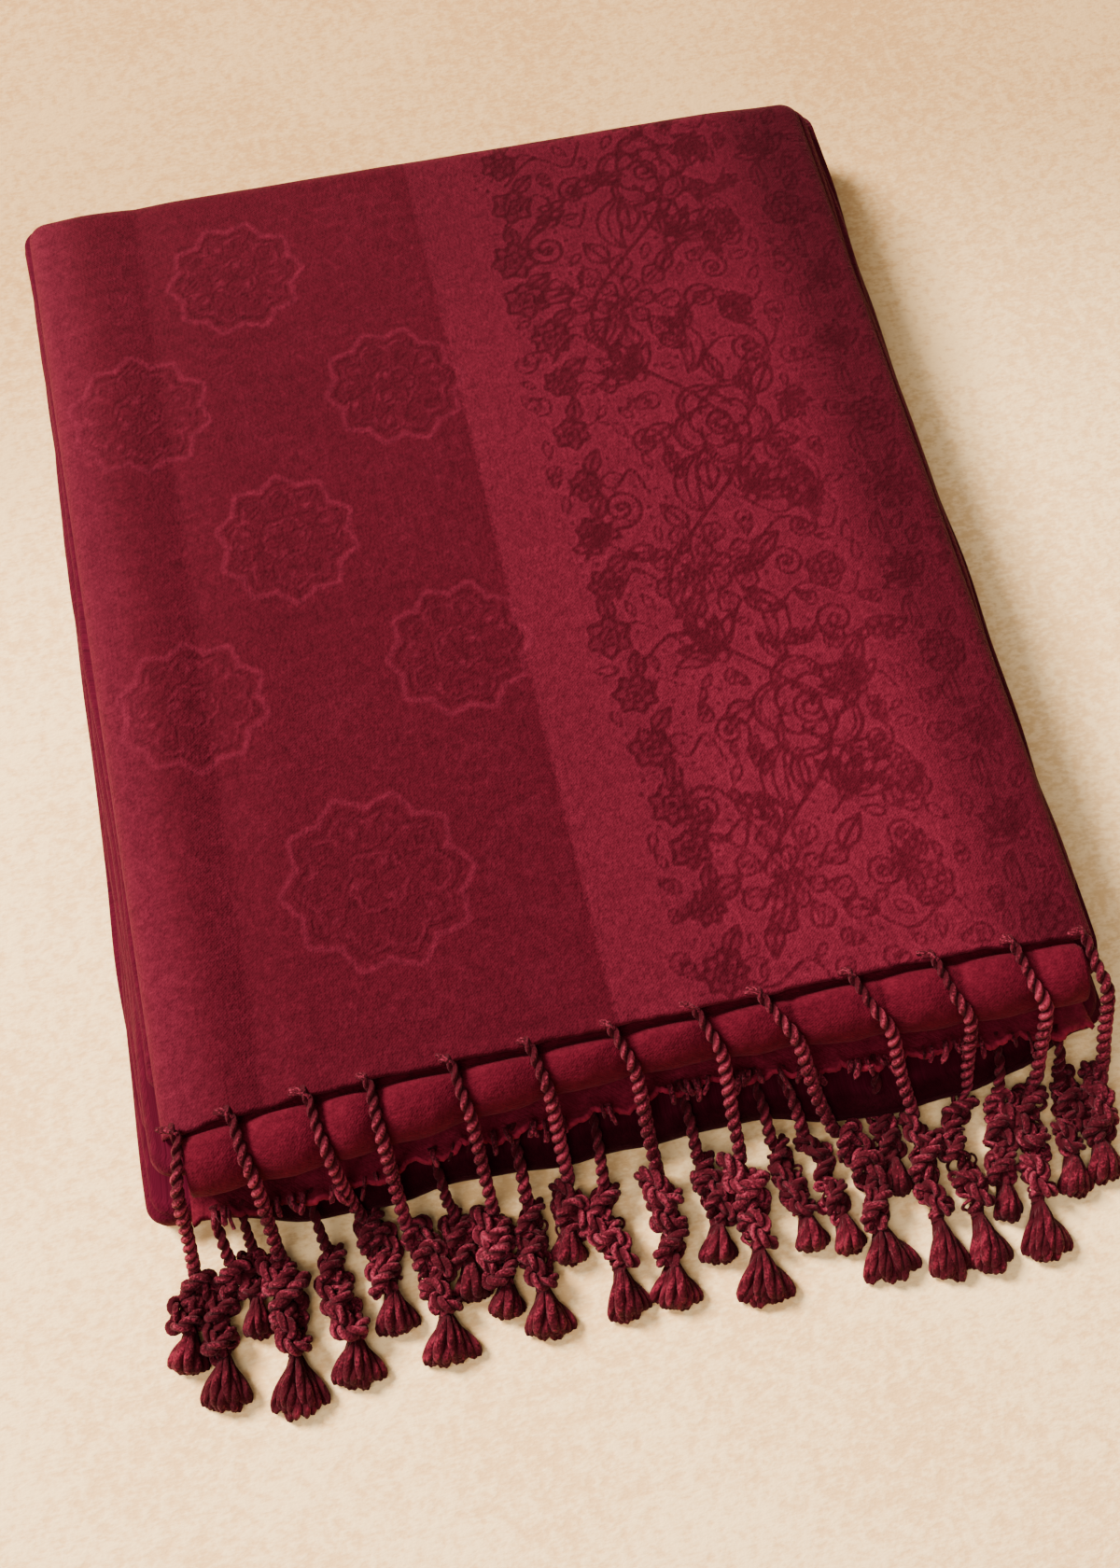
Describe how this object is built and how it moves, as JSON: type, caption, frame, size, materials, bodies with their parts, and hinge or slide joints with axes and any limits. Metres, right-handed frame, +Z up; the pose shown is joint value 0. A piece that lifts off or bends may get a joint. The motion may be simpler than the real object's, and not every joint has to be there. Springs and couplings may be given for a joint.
{
  "type": "folded fringed shawl",
  "caption": "Woven crimson shawl folded into a flat rectangular pile, lying down, with twisted tassel fringes along its front edge.",
  "frame": {"origin": "middle of the bounding box's underside, on the surface that the folded shawl lies on", "axes": "+Z up; Y along the pile's length, with the fringed front facing -Y; X across the pile"},
  "size_m": [0.2735, 0.3838, 0.0412],
  "materials": {
    "cloth": "fine woven wool jacquard, matt with a faint sheen",
    "fringe": "twisted wool yarn, matt"
  },
  "bodies": {
    "root": {"folded_layers": "cloth", "top_panel": "cloth", "front_fold": "cloth", "lower_end": "cloth", "top_fringe": "fringe", "lower_fringe": "fringe"}
  },
  "joints": []
}
